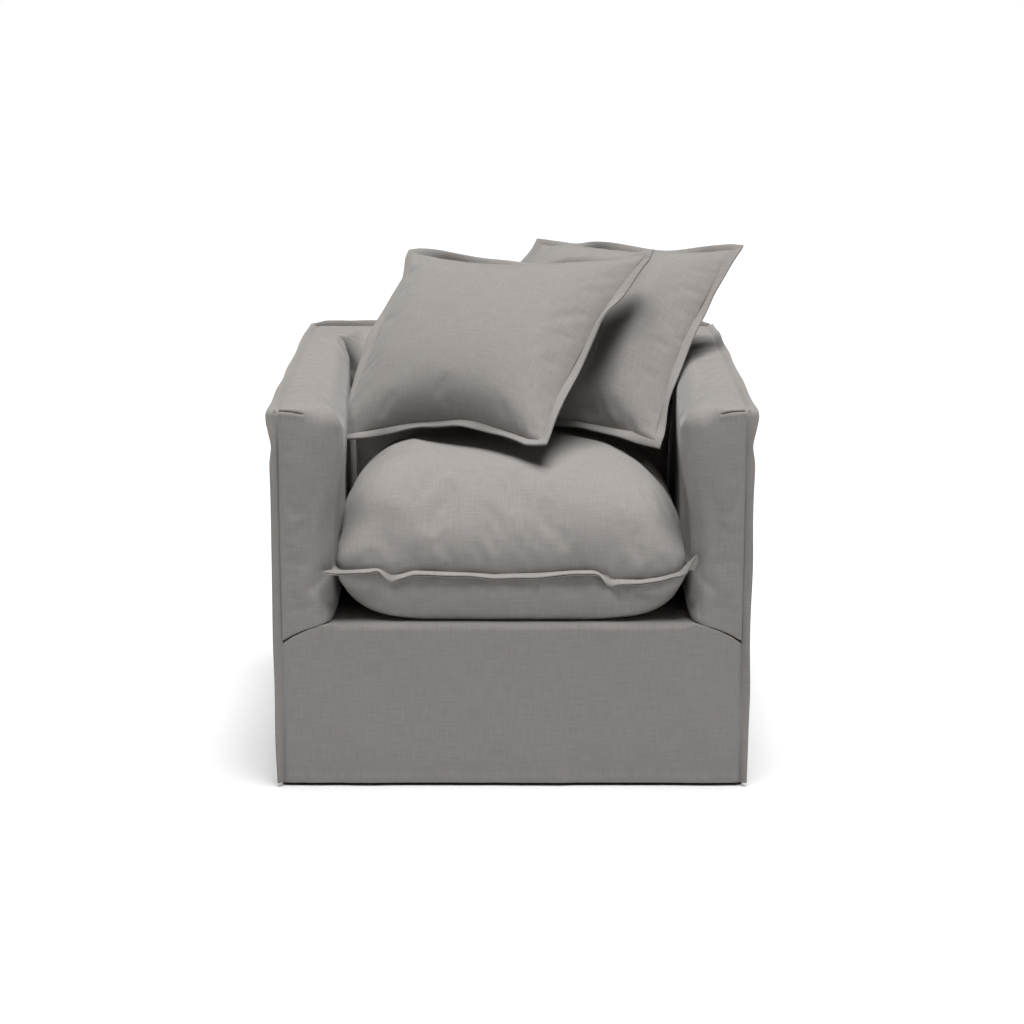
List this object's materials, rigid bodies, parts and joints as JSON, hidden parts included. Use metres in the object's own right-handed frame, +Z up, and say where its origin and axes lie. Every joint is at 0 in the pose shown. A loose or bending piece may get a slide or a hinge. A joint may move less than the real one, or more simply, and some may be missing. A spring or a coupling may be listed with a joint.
{
  "type": "upholstered armchair",
  "caption": "Low upholstered armchair in a tailored grey linen loose cover to the floor, with flanged seams, a loose seat cushion and flanged scatter pillows.",
  "frame": {"origin": "on the floor under the middle of the chair", "axes": "+Z up, the chair faces -Y, +X to the viewer's right seen from the front"},
  "size_m": [0.8037, 0.8, 0.8555],
  "materials": {
    "beech": "matte",
    "leg_wood": "satin",
    "boards": "matte",
    "steel": "satin",
    "glide_plastic": "matte",
    "webbing": "matte",
    "foam": "matte",
    "dust_cloth": "matte",
    "linen": "matte",
    "insert": "matte",
    "tape": "matte",
    "zip_metal": "satin"
  },
  "bodies": {
    "chair": {"front_rail": "beech", "back_rail": "beech", "side_rail_left": "beech", "side_rail_right": "beech", "front_post_left": "beech", "front_post_right": "beech", "back_post_left": "beech", "back_post_right": "beech", "arm_rail_left": "beech", "arm_rail_right": "beech", "arm_stretcher_left": "beech", "arm_stretcher_right": "beech", "back_top_rail": "beech", "back_stretcher": "beech", "corner_blocks": "beech", "legs": "leg_wood", "side_board_left": "boards", "side_board_right": "boards", "arm_panel_left": "boards", "arm_panel_right": "boards", "back_board": "boards", "seat_springs": "steel", "spring_clips": "steel", "leg_bolts": "steel", "corner_screws": "steel", "leg_glides": "glide_plastic", "back_webbing": "webbing", "arm_foam_left": "foam", "arm_foam_right": "foam", "back_foam": "foam", "front_edge_pad": "foam", "deck_pad": "foam", "dust_cover": "dust_cloth", "cover_front_apron": "linen", "cover_arm_front_left": "linen", "cover_arm_front_right": "linen", "cover_inside_arm_left": "linen", "cover_inside_arm_right": "linen", "cover_outside_arm_left": "linen", "cover_outside_arm_right": "linen", "cover_inside_back": "linen", "cover_outside_back": "linen", "cover_deck": "linen", "cover_flange_left": "linen", "cover_flange_right": "linen", "cover_flange_back": "linen", "closure_tape": "tape"},
    "seat_cushion": {"seat_cushion_core": "foam", "seat_cushion_top": "linen", "seat_cushion_bottom": "linen", "seat_cushion_flange": "linen", "seat_cushion_zip": "tape"},
    "zip_slider": {"seat_cushion_zip_slider": "zip_metal"},
    "right_pillow": {"right_pillow_insert": "insert", "right_pillow_front": "linen", "right_pillow_back": "linen"},
    "left_pillow": {"left_pillow_insert": "insert", "left_pillow_front": "linen", "left_pillow_back": "linen"}
  },
  "joints": [
    {"name": "seat_cushion_slide", "type": "slide", "parent": "chair", "child": "seat_cushion", "axis": [0, -1, 0], "range_m": [0, 0.45]},
    {"name": "zip_slider_travel", "type": "slide", "parent": "seat_cushion", "child": "zip_slider", "axis": [1, 0, 0], "range_m": [0, 0.44]},
    {"name": "right_pillow_lift", "type": "slide", "parent": "chair", "child": "right_pillow", "axis": [0, 0, 1], "range_m": [0, 0.4]},
    {"name": "left_pillow_lift", "type": "slide", "parent": "right_pillow", "child": "left_pillow", "axis": [0, 0, 1], "range_m": [0, 0.4]}
  ]
}
